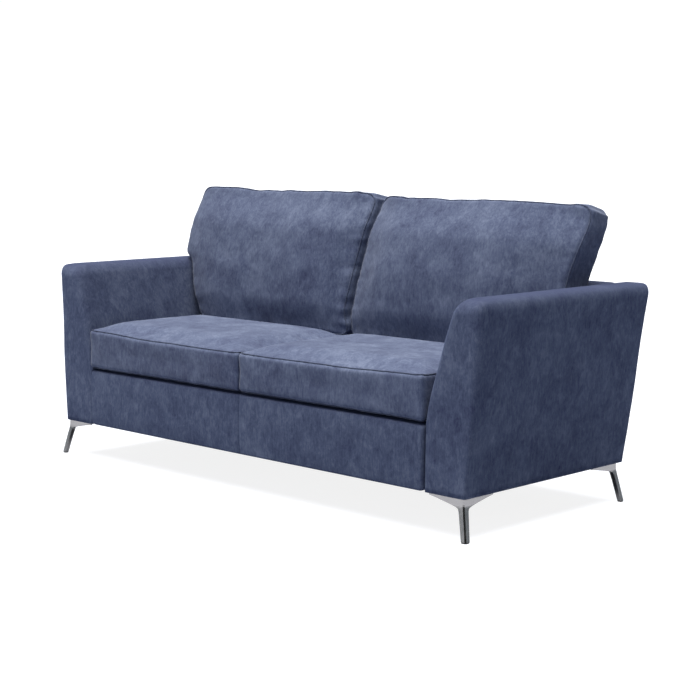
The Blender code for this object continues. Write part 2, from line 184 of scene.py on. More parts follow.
# ---------------------------------------------------------------- materials
class Graph:
    """Short calls for a material's node tree."""

    def __init__(self, name):
        self.mat = bpy.data.materials.new(name)
        self.mat.use_nodes = True
        self.tree = self.mat.node_tree
        self.shader = self.tree.nodes["Principled BSDF"]

    def node(self, kind):
        return self.tree.nodes.new(kind)

    def link(self, a, b):
        self.tree.links.new(a, b)

    def coords(self, scale):
        """Object coordinates, stretched."""
        tex = self.node("ShaderNodeTexCoord")
        mapping = self.node("ShaderNodeMapping")
        mapping.inputs["Scale"].default_value = scale
        self.link(tex.outputs["Object"], mapping.inputs["Vector"])
        return mapping.outputs["Vector"]

    def noise(self, scale, stretch=(1, 1, 1), detail=4.0, rough=0.55, distortion=0.0):
        """A noise value from 0 to 1, stretched along the axes."""
        n = self.node("ShaderNodeTexNoise")
        n.inputs["Scale"].default_value = scale
        n.inputs["Detail"].default_value = detail
        n.inputs["Roughness"].default_value = rough
        n.inputs["Distortion"].default_value = distortion
        self.link(self.coords(stretch), n.inputs["Vector"])
        return n.outputs["Fac"]

    def math(self, op, a, b, clamp=False):
        """A sum, product or other operation on values and sockets."""
        n = self.node("ShaderNodeMath")
        n.operation = op
        n.use_clamp = clamp
        for socket, value in zip(n.inputs, (a, b)):
            if isinstance(value, (int, float)):
                socket.default_value = value
            else:
                self.link(value, socket)
        return n.outputs[0]

    def ramp(self, fac, stops):
        """Colours at places along a value."""
        n = self.node("ShaderNodeValToRGB")
        elements = n.color_ramp.elements
        while len(elements) < len(stops):
            elements.new(0.5)
        for element, (place, colour) in zip(elements, stops):
            element.position = place
            element.color = (*colour, 1.0)
        self.link(fac, n.inputs["Fac"])
        return n.outputs["Color"]

    def bump(self, height, strength, distance, under=None):
        """Relief from a value, on top of other relief if that is given."""
        n = self.node("ShaderNodeBump")
        n.inputs["Strength"].default_value = strength
        n.inputs["Distance"].default_value = distance
        self.link(height, n.inputs["Height"])
        if under is not None:
            self.link(under, n.inputs["Normal"])
        return n.outputs["Normal"]


NAP_DARK = (0.029, 0.037, 0.088)
NAP_MIDDLE = (0.066, 0.085, 0.155)
NAP_LIGHT = (0.122, 0.149, 0.238)
SHEEN_GREY = (0.82, 0.83, 0.83)
SHEEN_BLUE = (0.36, 0.50, 0.95)


def velour(name, tint, streaks, sheen, painted_top_shade=0.0, sheen_tint=SHEEN_GREY):
    """Slate-blue napped velour: brushed patches, streaks down the nap, grain and fine pile, with
    optional painted shade that darkens upward faces.
    """
    g = Graph(name)
    broad = g.noise(6.0, (1, 1, 1), 5.0, 0.62, 0.6)
    patch = g.noise(26.0, (1, 1, 0.75), 5.0, 0.65, 0.9)
    streak = g.noise(9.0, streaks, 4.0, 0.6, 0.3)
    grain = g.noise(120.0, (1, 1, 0.6), 4.0, 0.7, 0.4)
    pile = g.noise(620.0, (1, 1, 1), 2.0, 0.5)
    mix = g.math("MULTIPLY", broad, 0.30)
    for layer, share in ((patch, 0.27), (streak, 0.17), (grain, 0.20), (pile, 0.06)):
        mix = g.math("ADD", mix, g.math("MULTIPLY", layer, share))
    dark = [c * tint for c in NAP_DARK]
    middle = [c * tint for c in NAP_MIDDLE]
    light = [c * tint for c in NAP_LIGHT]
    colour = g.ramp(mix, ((0.38, dark), (0.50, middle), (0.62, light)))
    # painted shade: faces that point upward are blended towards the dark nap colour, darker the
    # more they face up
    if painted_top_shade:
        facing = g.node("ShaderNodeNewGeometry")
        split = g.node("ShaderNodeSeparateXYZ")
        g.link(facing.outputs["Normal"], split.inputs[0])
        upward = g.math("POWER", g.math("MAXIMUM", split.outputs["Z"], 0.0), 1.5)
        blend = g.node("ShaderNodeMix")
        blend.data_type = "RGBA"
        g.link(g.math("MULTIPLY", upward, painted_top_shade, True), blend.inputs["Factor"])
        g.link(colour, blend.inputs[6])
        blend.inputs[7].default_value = (*dark, 1.0)
        colour = blend.outputs[2]
    g.link(colour, g.shader.inputs["Base Color"])
    rough = g.math("ADD", g.math("MULTIPLY", patch, 0.16), 0.78)
    g.link(rough, g.shader.inputs["Roughness"])
    g.shader.inputs["Specular IOR Level"].default_value = 0.15
    g.shader.inputs["Sheen Weight"].default_value = sheen
    g.shader.inputs["Sheen Roughness"].default_value = 0.42
    g.shader.inputs["Sheen Tint"].default_value = (*sheen_tint, 1.0)
    wrinkle = g.bump(g.noise(13.0, (1, 1, 0.7), 3.0, 0.5, 0.6), 0.20, 0.006)
    nap = g.bump(grain, 0.24, 0.0016, wrinkle)
    fine = g.bump(pile, 0.30, 0.0005, nap)
    g.link(fine, g.shader.inputs["Normal"])
    return g.mat


def wood(name, dark, light, stretch, plies=False):
    """Timber with grain along one axis, or plywood with fine face grain."""
    g = Graph(name)
    grain = g.noise(9.0, stretch, 6.0, 0.62, 1.2)
    fleck = g.noise(60.0, stretch, 3.0, 0.5)
    mix = g.math("ADD", g.math("MULTIPLY", grain, 0.78), g.math("MULTIPLY", fleck, 0.22))
    middle = [(a + b) / 2 for a, b in zip(dark, light)]
    colour = g.ramp(mix, ((0.34, dark), (0.52, middle), (0.68, light)))
    g.link(colour, g.shader.inputs["Base Color"])
    rough = g.math("ADD", g.math("MULTIPLY", grain, 0.18), 0.46 if plies else 0.42)
    g.link(rough, g.shader.inputs["Roughness"])
    g.link(g.bump(mix, 0.22, 0.0012), g.shader.inputs["Normal"])
    return g.mat


def metal(name, colour, low, high, scratch, stretch, strength):
    """Metal whose roughness and fine surface vary."""
    g = Graph(name)
    g.shader.inputs["Metallic"].default_value = 1.0
    tone = g.noise(14.0, (1, 1, 1), 3.0, 0.5)
    worn = g.ramp(tone, ((0.3, [c * 0.90 for c in colour]), (0.7, colour)))
    g.link(worn, g.shader.inputs["Base Color"])
    lines = g.noise(scratch, stretch, 3.0, 0.6)
    rough = g.math("ADD", g.math("MULTIPLY", lines, high - low), low)
    g.link(rough, g.shader.inputs["Roughness"])
    g.link(g.bump(lines, strength, 0.0004), g.shader.inputs["Normal"])
    return g.mat


def plain(name, colour, rough, scale, strength, distance):
    """Moulded plastic, powder coat or thin cloth with a grained surface."""
    g = Graph(name)
    grain = g.noise(scale, (1, 1, 1), 4.0, 0.6)
    dark = [c * 0.75 for c in colour]
    light = [c * 1.2 for c in colour]
    g.link(g.ramp(grain, ((0.35, dark), (0.65, light))), g.shader.inputs["Base Color"])
    g.link(g.math("ADD", g.math("MULTIPLY", grain, 0.12), rough), g.shader.inputs["Roughness"])
    g.link(g.bump(grain, strength, distance), g.shader.inputs["Normal"])
    return g.mat


STREAKS_DOWN = (26, 26, 3.2)
STREAKS_CUSHION = (20, 20, 4.0)
STREAKS_NONE = (30, 30, 30)
# painted shade and painted light: the covers and the cushions are one velour, the covers painted
# darker (0.93, darker still on upward faces) and the cushions painted lighter (1.05)
FABRIC = velour("velour_slate", 0.93, STREAKS_DOWN, 0.12, painted_top_shade=0.75, sheen_tint=SHEEN_BLUE)
FABRIC_TOP = velour("velour_slate_cushion", 1.05, STREAKS_CUSHION, 0.20)
# painted shade: the welts are the same velour painted darker, for the shade along the seams, the
# seat welts darker than the back welts
WELT = velour("velour_welt", 0.60, STREAKS_NONE, 0.10)
WELT_BACK = velour("velour_welt_back", 0.80, STREAKS_NONE, 0.16)
PINE_DARK = (0.40, 0.23, 0.10)
PINE_LIGHT = (0.70, 0.48, 0.27)
SLAT_DARK = (0.42, 0.24, 0.11)
SLAT_LIGHT = (0.72, 0.50, 0.28)
PLY_DARK = (0.46, 0.31, 0.16)
PLY_LIGHT = (0.76, 0.60, 0.38)
CHROME_TONE = (0.74, 0.705, 0.665)
ZINC_TONE = (0.56, 0.58, 0.60)
TIMBER_Y = wood("pine_along_depth", SLAT_DARK, SLAT_LIGHT, (14, 1.1, 14))
TIMBER_X = wood("pine_along_width", PINE_DARK, PINE_LIGHT, (1.1, 14, 14))
TIMBER_Z = wood("pine_upright", PINE_DARK, PINE_LIGHT, (14, 14, 1.1))
PLYWOOD = wood("plywood", PLY_DARK, PLY_LIGHT, (6, 2.0, 6), plies=True)
CHROME = metal("polished_chrome", CHROME_TONE, 0.10, 0.26, 90.0, (1, 1, 0.3), strength=0.02)
ZINC = metal("zinc_steel", ZINC_TONE, 0.24, 0.46, 60.0, (30, 1, 30), strength=0.06)
POWDER = plain("black_powder_coat", (0.030, 0.030, 0.033), 0.42, 900.0, 0.12, 0.0003)
PLASTIC = plain("black_plastic", (0.022, 0.022, 0.024), 0.48, 500.0, 0.10, 0.0003)
LINING = plain("black_lining", (0.030, 0.030, 0.032), 0.80, 700.0, 0.30, 0.0005)


# the first row that a CAD node's name begins with gives its material
NODE_MATERIALS = (
    (("arm_frame", "arm_bottom", "base_side", "front_rail_core"), PLYWOOD),
    (("fixed_slat", "platform_slat", "platform_side"), TIMBER_Y),
    (("back_post",), TIMBER_Z),
    (("back_", "deck_", "platform_"), TIMBER_X),
    (("corner_leg",), CHROME),
    (("leg_glide", "folding_leg_foot"), PLASTIC),
    (("runner_", "folding_leg_bracket"), ZINC),
    (("folding_leg",), POWDER),
)


def node_material(name):
    """The material for a CAD node that stays."""
    for starts, material in NODE_MATERIALS:
        if name.startswith(starts):
            return material
    return LINING


for name, obj in nodes.items():
    obj.data.materials.clear()
    obj.data.materials.append(node_material(name))


def soften(name):
    """Small rounded edges on a CAD node that stays."""
    mod = nodes[name].modifiers.new("edge", "BEVEL")
    mod.width = 0.0007
    mod.segments = 2
    mod.limit_method = "ANGLE"
    mod.angle_limit = math.radians(28.0)
    mod.harden_normals = True
    for poly in nodes[name].data.polygons:
        poly.use_smooth = True


for corner in ("front_left", "front_right", "rear_left", "rear_right"):
    soften("corner_leg_" + corner)

# ---------------------------------------------------------------- floor
FLOOR_SIZE = 30.0
FLOOR_LEVEL = -0.0005
FLOOR_DARK = (0.205, 0.225, 0.285)
FLOOR_LIGHT = (0.215, 0.235, 0.295)


def floor_material():
    """A pale matt floor that looks white to the camera, apart from shadows."""
    g = Graph("studio_floor")
    tone = g.ramp(g.noise(2.0), ((0.3, FLOOR_DARK), (0.7, FLOOR_LIGHT)))
    g.link(tone, g.shader.inputs["Base Color"])
    g.shader.inputs["Roughness"].default_value = 0.9
    glow = g.node("ShaderNodeEmission")
    glow.inputs["Strength"].default_value = 0.86
    seen = g.node("ShaderNodeLightPath")
    both = g.node("ShaderNodeAddShader")
    pick = g.node("ShaderNodeMixShader")
    g.link(g.shader.outputs[0], both.inputs[0])
    g.link(glow.outputs[0], both.inputs[1])
    g.link(seen.outputs["Is Camera Ray"], pick.inputs[0])
    g.link(g.shader.outputs[0], pick.inputs[1])
    g.link(both.outputs[0], pick.inputs[2])
    g.link(pick.outputs[0], g.tree.nodes["Material Output"].inputs["Surface"])
    return g.mat


signs = ((-1.0, -1.0), (1.0, -1.0), (1.0, 1.0), (-1.0, 1.0))
floor_verts = [(a * FLOOR_SIZE, b * FLOOR_SIZE, FLOOR_LEVEL) for a, b in signs]
floor_mesh = bpy.data.meshes.new("floor")
floor_mesh.from_pydata(floor_verts, [], [(0, 1, 2, 3)])
floor = bpy.data.objects.new("floor", floor_mesh)
scene.collection.objects.link(floor)
floor_mesh.materials.append(floor_material())


# ---------------------------------------------------------------- mesh helpers
def new_object(name, verts, faces, material):
    """A smooth-shaded mesh object in the scene."""
    mesh = bpy.data.meshes.new(name)
    mesh.from_pydata([tuple(v) for v in verts], [], [tuple(f) for f in faces])
    mesh.validate()
    mesh.update()
    for poly in mesh.polygons:
        poly.use_smooth = True
    mesh.materials.append(material)
    obj = bpy.data.objects.new(name, mesh)
    scene.collection.objects.link(obj)
    return obj


def normals_of(obj):
    """The vertex normals, one row each."""
    arr = np.zeros(len(obj.data.vertices) * 3)
    obj.data.vertex_normals.foreach_get("vector", arr)
    return arr.reshape(-1, 3)


def coords_of(obj):
    """The vertex places, one row each."""
    arr = np.zeros(len(obj.data.vertices) * 3)
    obj.data.vertices.foreach_get("co", arr)
    return arr.reshape(-1, 3)


def set_coords(obj, arr):
    """Move the vertices to the given rows."""
    obj.data.vertices.foreach_set("co", np.ascontiguousarray(arr, np.float64).ravel())
    obj.data.update()


def subdivide(obj):
    """One level of subdivision."""
    mod = obj.modifiers.new("smooth", "SUBSURF")
    mod.levels = 1
    mod.render_levels = 1


def fbm(p, scale, seed):
    """Smooth seeded noise about zero."""
    place = Vector((p[0] * scale + seed, p[1] * scale - seed, p[2] * scale + 2.0 * seed))
    return noise.fractal(place, 1.0, 2.0, 3)


TUBE_SIDES = 8


def tube(name, path, radius, material):
    """A round tube along a closed path."""
    count = len(path)
    tangent = np.roll(path, -1, 0) - np.roll(path, 1, 0)
    tangent /= np.linalg.norm(tangent, axis=1)[:, None]
    ref = np.array((0.13, 0.21, 0.97))
    ref -= tangent[0] * (ref @ tangent[0])
    ref /= np.linalg.norm(ref)
    rings = []
    for point, along in zip(path, tangent):
        ref = ref - along * (ref @ along)
        ref = ref / np.linalg.norm(ref)
        other = np.cross(along, ref)
        angles = [2.0 * math.pi * k / TUBE_SIDES for k in range(TUBE_SIDES)]
        rings.append([point + radius * (math.cos(a) * ref + math.sin(a) * other) for a in angles])
    # the last ring joins the first with the least twist
    first, last = np.array(rings[0]), np.array(rings[-1])
    twists = [last - np.roll(first, -k, 0) for k in range(TUBE_SIDES)]
    shift = int(np.argmin([np.linalg.norm(t, axis=1).sum() for t in twists]))
    faces = []
    for i in range(count):
        j = (i + 1) % count
        turn = shift if j == 0 else 0
        here, there = i * TUBE_SIDES, j * TUBE_SIDES
        for k in range(TUBE_SIDES):
            m = (k + 1) % TUBE_SIDES
            near, far = (k + turn) % TUBE_SIDES, (m + turn) % TUBE_SIDES
            faces.append((here + k, here + m, there + far, there + near))
    verts = [v for ring in rings for v in ring]
    return new_object(name, verts, faces, material)


def loft(rings, count):
    """Quads between neighbouring rings of the same number of points."""
    faces = []
    for r in range(len(rings) - 1):
        for i in range(count):
            j = (i + 1) % count
            a, b = r * count, (r + 1) * count
            faces.append((a + i, a + j, b + j, b + i))
    return faces


def even(count):
    """Places between the two ends of a side."""
    return [k / count for k in range(1, count)]


def round_rect(a0, a1, b0, b1, radius, steps, straight):
    """Points of a rounded rectangle, with the given places along its straight sides too."""
    r = min(radius, (a1 - a0) * 0.49, (b1 - b0) * 0.49)
    corners = (
        (a1 - r, b1 - r, 0),
        (a0 + r, b1 - r, 90),
        (a0 + r, b0 + r, 180),
        (a1 - r, b0 + r, 270),
    )
    arcs = []
    for ca, cb, start in corners:
        angles = [math.radians(start + 90.0 * k / steps) for k in range(steps + 1)]
        arcs.append([(ca + r * math.cos(t), cb + r * math.sin(t)) for t in angles])
    out = []
    for i, arc in enumerate(arcs):
        out += arc
        nxt = arcs[(i + 1) % 4][0]
        for t in straight[i % 2]:
            out.append((arc[-1][0] * (1 - t) + nxt[0] * t, arc[-1][1] * (1 - t) + nxt[1] * t))
    return out


# ---------------------------------------------------------------- fixed upholstery
# the rounded shoulder of a cover: depth below its top, and how far its sides are drawn in there
TOP_LEVELS = (
    (0.036, 0.0),
    (0.030, 0.0008),
    (0.024, 0.0022),
    (0.018, 0.0044),
    (0.0125, 0.0074),
    (0.0080, 0.0112),
    (0.0045, 0.0155),
    (0.0020, 0.0205),
    (0.0006, 0.0260),
    (0.0, 0.0320),
    (0.0, 0.0400),
)
SHOULDER = 0.040  # the straight walls end this far below the top
WALL_STEPS = 34
CORNER_STEPS = 6
ARM_CORNER = 0.024
BACK_CORNER = 0.014
FRONT_DIP = 0.012  # how far the arm's top falls at its front


def section_ring(section, z, inset, radius, straight):
    """The outline of a cover at one height, drawn in by the inset."""
    x0, x1, y0, y1 = section(z)
    sides = (x0 + inset, x1 - inset, y0 + inset, y1 - inset)
    return [(x, y, z) for x, y in round_rect(*sides, radius, CORNER_STEPS, straight)]


def cover(name, node, section, top, radius, straight, seed, dips=False):
    """An upholstered shell with a turned-under hem, its faces very slightly uneven."""
    bottom = FLOOR_CLEAR
    rings = []
    for k in range(WALL_STEPS + 1):
        z = bottom + (top - SHOULDER - bottom) * k / WALL_STEPS
        here = radius * (0.42 + 0.58 * smooth((z - 0.33) / 0.20))
        rings.append(section_ring(section, z, 0.0, here, straight))
    for drop, pull in TOP_LEVELS:
        rings.append(section_ring(section, top - drop, pull, max(radius - pull, 0.006), straight))
    inner_radius = max(radius - SHELL, 0.004)
    inner_levels = (bottom, bottom + 0.02, top - 0.060)
    inner = [section_ring(section, z, SHELL, inner_radius, straight) for z in inner_levels]
    stack = list(reversed(rings)) + inner
    verts = [p for ring in stack for p in ring]
    count = len(rings[0])
    faces = loft(stack, count)
    faces.append(tuple(reversed(range(count))))
    base = (len(stack) - 1) * count
    faces.append(tuple(base + i for i in range(count)))
    obj = new_object(name, verts, faces, FABRIC)
    co = coords_of(obj)
    n = normals_of(obj)
    outer = len(rings) * count
    middle = co[:outer].mean(0)
    if np.mean(((co[:outer] - middle) * n[:outer]).sum(1)) < 0:
        obj.data.flip_normals()
        n = -n
    for i in range(outer):
        p = co[i]
        tall = (p[2] - bottom) / (top - bottom)
        edge = smooth(tall / 0.06) * smooth((1.0 - tall) / 0.10)
        uneven = 0.0012 * fbm(p, 5.0, seed) + 0.0005 * fbm(p, 19.0, seed + 3.0)
        co[i] = p + n[i] * edge * uneven
        if dips:
            p = co[i]
            near = 1.0 - smooth((p[1] - front_line(p[2])) / 0.075)
            inward = smooth((arm_outer(p[2]) - abs(p[0])) / 0.070)
            high = smooth((p[2] - (top - 0.12)) / 0.12)
            p[2] -= FRONT_DIP * inward * near * near * high
    set_coords(obj, co)
    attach(obj, "sofa_base")
    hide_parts(node)


def left_arm_section(z):
    """The left arm's sides, front and rear at a height."""
    return -arm_outer(z), -arm_inner(z), front_line(z), rear_line(z)


def right_arm_section(z):
    """The right arm's sides, front and rear at a height."""
    return arm_inner(z), arm_outer(z), front_line(z), rear_line(z)


def back_section(z):
    """The back's sides, front and rear at a height."""
    half = arm_inner(z) - 0.003
    return -half, half, back_face(z), rear_line(z)


for label, section, seed in (("left", left_arm_section, 2.1), ("right", right_arm_section, 4.1)):
    names = ("arm_upholstery_" + label, "arm_cover_" + label)
    cover(*names, section, ARM_TOP, ARM_CORNER, (even(8), even(46)), seed, True)

back_straight = (even(90), even(10))
cover("back_upholstery", "back_cover", back_section, BACK_TOP, BACK_CORNER, back_straight, 8.7)


# ---------------------------------------------------------------- front rail
def rail():
    """The upholstered front rail: a channel open at the rear, with a sewn join at its middle."""
    beside = (0.0014, 0.0028, 0.0048, 0.0080)  # closer points beside the sewn join
    near = [0.5] + [0.5 - d for d in beside] + [0.5 + d for d in beside]
    far = [t for t in even(130) if abs(t - 0.5) > 0.010]
    straight = (sorted(near + far), even(16))
    half = RAIL_HALF + 0.0036
    arc_steps = 4
    bevel = 0.009
    wall = 0.0105

    def ring(inset, y):
        """The rail's outline at a depth, drawn in by the inset."""
        r = max(0.014 - inset * 0.6, 0.004)
        lip = 0.0030 - 0.0042 * smooth((RAIL_REAR - y) / 0.020)
        low, high = FLOOR_CLEAR + inset, RAIL_TOP + lip - inset
        pts = round_rect(-half + inset, half - inset, low, high, r, arc_steps, straight)
        return [(x, y, z) for x, z in pts]

    depth = RAIL_FRONT + bevel
    behind = [RAIL_REAR - d for d in (0.0, 0.005, 0.010, 0.016)] + [depth]
    rings = [ring(0.0, y) for y in behind]
    for k in range(1, 7):
        t = math.radians(90.0 * k / 6)
        rings.append(ring(bevel * (1 - math.cos(t)), depth - bevel * math.sin(t)))
    for extra in (0.024, 0.036, 0.050, 0.066, 0.082):
        rings.append(ring(extra, RAIL_FRONT))
    stack = list(reversed(rings)) + [ring(wall, RAIL_REAR), ring(wall, RAIL_FRONT + wall)]
    verts = [p for r in stack for p in r]
    count = len(rings[0])
    faces = [(a, d, c, b) for a, b, c, d in loft(stack, count)]
    wide, tall = len(straight[0]), len(straight[1])
    arc = arc_steps + 1
    # strips down the front face, so that no face is long and many-sided
    upper = list(range(arc - 1, arc + wide + 1))
    start = arc + wide + arc + tall + arc - 1
    lower = list(range(start, start + wide + 2))
    lower.reverse()
    for k in range(len(upper) - 1):
        faces.append((upper[k], upper[k + 1], lower[k + 1], lower[k]))
    faces.append(tuple(range(upper[-1], lower[-1] + 1)))
    faces.append(tuple(list(range(lower[0], count)) + list(range(0, upper[0] + 1))))
    base = (len(stack) - 1) * count
    faces.append(tuple(base + i for i in reversed(range(count))))
    obj = new_object("rail_upholstery", verts, faces, FABRIC)
    co = coords_of(obj)
    for i in range(len(rings) * count):
        x, y, z = co[i]
        if y > RAIL_FRONT + 0.004:
            continue
        h = (z - FLOOR_CLEAR) / (RAIL_TOP - FLOOR_CLEAR)
        bow = 0.0026 * smooth(h / 0.25) * smooth((1 - h) / 0.25)
        bow += 0.0012 * fbm(co[i], 6.0, 11.0)
        pinch = 0.0034 * math.exp(-((x / 0.0032) ** 2))
        pinch += 0.0012 * math.exp(-((x / 0.016) ** 2))
        co[i][1] = y - bow + pinch
    set_coords(obj, co)
    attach(obj, "pull_out_platform")
    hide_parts("front_rail_cover")


rail()


# ---------------------------------------------------------------- cushions
class Pillow:
    """A box cushion on a regular surface grid, so its seams stay known vertices."""

    def __init__(self, name, counts, sizes, place, radius, corner):
        self.counts = counts
        self.sizes = np.array(sizes)
        self.index = {}
        self.unit = []
        nx, ny, nz = counts
        verts = []
        lx, ly, lz = sizes
        for i in range(nx + 1):
            for j in range(ny + 1):
                for k in range(nz + 1):
                    if 0 < i < nx and 0 < j < ny and 0 < k < nz:
                        continue
                    p = np.array((lx * i / nx, ly * j / ny, lz * k / nz))
                    p[:2] = self.turn(p[:2], self.sizes[:2], corner)
                    q = np.clip(p, radius, self.sizes - radius)
                    d = p - q
                    span = np.linalg.norm(d)
                    if span > 1e-9:
                        p = q + d / span * radius
                    self.index[(i, j, k)] = len(verts)
                    self.unit.append((i / nx, j / ny, k / nz))
                    verts.append(place(*p))
        self.unit = np.array(self.unit)
        self.obj = new_object(name, verts, self.quads(), FABRIC_TOP)
        co, n = coords_of(self.obj), normals_of(self.obj)
        if ((co - co.mean(0)) * n).sum() < 0:
            self.obj.data.flip_normals()

    @staticmethod
    def turn(p, size, corner):
        """Round the four plan corners of the grid."""
        half = size / 2.0
        q = p - half
        past = np.abs(q) - (half - corner)
        if (past > 0).all():
            scaled = past / corner
            past = scaled * scaled.max() / np.linalg.norm(scaled) * corner
            q = np.sign(q) * (half - corner + past)
        return q + half

    def quads(self):
        """The faces of the six sides of the grid."""
        nx, ny, nz = self.counts
        corners = []
        for i in range(nx):
            for j in range(ny):
                corners.append(((i, j, 0), (i, j + 1, 0), (i + 1, j + 1, 0), (i + 1, j, 0)))
                corners.append(((i, j, nz), (i + 1, j, nz), (i + 1, j + 1, nz), (i, j + 1, nz)))
        for i in range(nx):
            for k in range(nz):
                corners.append(((i, 0, k), (i + 1, 0, k), (i + 1, 0, k + 1), (i, 0, k + 1)))
                corners.append(((i, ny, k), (i, ny, k + 1), (i + 1, ny, k + 1), (i + 1, ny, k)))
        for j in range(ny):
            for k in range(nz):
                corners.append(((0, j, k), (0, j, k + 1), (0, j + 1, k + 1), (0, j + 1, k)))
                corners.append(((nx, j, k), (nx, j + 1, k), (nx, j + 1, k + 1), (nx, j, k + 1)))
        return [tuple(self.index[c] for c in quad) for quad in corners]

    def loop(self, at_end):
        """Vertex numbers round the edge of the grid's first or last layer."""
        nx, ny, nz = self.counts
        layer = nz if at_end else 0
        ring = [(s, 0) for s in range(nx)] + [(nx, s) for s in range(ny)]
        ring += [(s, ny) for s in range(nx, 0, -1)] + [(0, s) for s in range(ny, 0, -1)]
        return [self.index[(i, j, layer)] for i, j in ring]

    def seam_distance(self, seam):
        """How far each vertex is, in grid distance, from the nearest seam."""
        co = self.unit * self.sizes
        edge = co[seam]
        out = np.full(len(co), 9.0)
        for chunk in np.array_split(edge, max(1, len(edge) // 40)):
            d = np.linalg.norm(co[:, None, :] - chunk[None, :, :], axis=2).min(1)
            out = np.minimum(out, d)
        return out


def inflate(pillow, seam, distance, pressure, cap, frames, shrink, boxing):
    """Fill the cushion by cloth simulation, then keep the shape as plain mesh.

    No point moves further than the cap. The boxing, which is the strip between the two
    seams, moves by a share of that, and points near a seam move less.
    """
    obj = pillow.obj
    start = coords_of(obj)
    group = obj.vertex_groups.new(name="seam")
    group.add([int(i) for i in seam], 1.0, "REPLACE")
    mod = obj.modifiers.new("fill", "CLOTH")
    s = mod.settings
    s.quality = 5
    s.mass = 0.30
    s.tension_stiffness = 22.0
    s.compression_stiffness = 22.0
    s.shear_stiffness = 6.0
    s.bending_stiffness = 0.35
    s.air_damping = 3.0
    s.use_pressure = True
    s.uniform_pressure_force = pressure
    s.vertex_group_shrink = "seam"
    s.shrink_min = 0.0
    s.shrink_max = shrink
    s.effector_weights.gravity = 0.0
    mod.collision_settings.use_collision = False
    mod.point_cache.frame_start = 1
    mod.point_cache.frame_end = frames
    for f in range(1, frames + 1):
        scene.frame_set(f)
    graph = bpy.context.evaluated_depsgraph_get()
    solved = coords_of(obj.evaluated_get(graph))
    obj.modifiers.remove(mod)
    obj.vertex_groups.remove(group)
    scene.frame_set(1)
    move = solved - start
    move -= move.mean(0)
    size = np.linalg.norm(move, axis=1)
    scale = np.where(size > 1e-9, cap * np.tanh(size / cap) / np.maximum(size, 1e-9), 0.0)
    calm = np.array([0.30 + 0.70 * smooth(d / 0.10) for d in distance])
    layer = pillow.unit[:, 2]
    calm[(layer > 0.001) & (layer < 0.999)] *= boxing
    set_coords(obj, start + move * (scale * calm)[:, None])


def welt(name, pillow, loop, radius, out, material):
    """The sewn edge cord along a seam of a finished cushion."""
    co, n = coords_of(pillow.obj), normals_of(pillow.obj)
    path = co[loop] + n[loop] * out
    for _ in range(2):
        path = 0.5 * path + 0.25 * (np.roll(path, 1, 0) + np.roll(path, -1, 0))
    obj = tube(name, path, radius, material)
    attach(obj, "sofa_base")


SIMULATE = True

# ---------------------------------------------------------------- seat cushions
SEAT_SIZES = (0.808, SEAT_REAR - SEAT_FRONT - 0.006, SEAT_TOP - SEAT_BOTTOM - 0.002)
SEAT_GRID = (80, 66, 13)
SEAT_INNER = 0.0045  # from the middle of the sofa to a cushion's inner side
SEAT_MIDDLE = 0.0012  # no part of a cushion is nearer to the middle than this
SEAT_WALL = 0.8160  # no part is further out than this, beside the arm
SEAT_NOSE = -0.4465  # the furthest that the front may bulge
SEAT_TAIL = 0.2470
SEAT_DOME = 0.017 if SIMULATE else 0.026
SEAT_RISE = 0.034  # the most that the crown may rise, in front of the back cushions
SEAT_SLOPE = 0.009  # the outer front of the top is fuller than its inner rear
SEAT_BULGE = 0.004
SEAT_PUCKER = 0.0016
SEAM_PULL = 0.0022  # the seams lie this much lower than the cloth beside them
SEAT_WELT = 0.0021


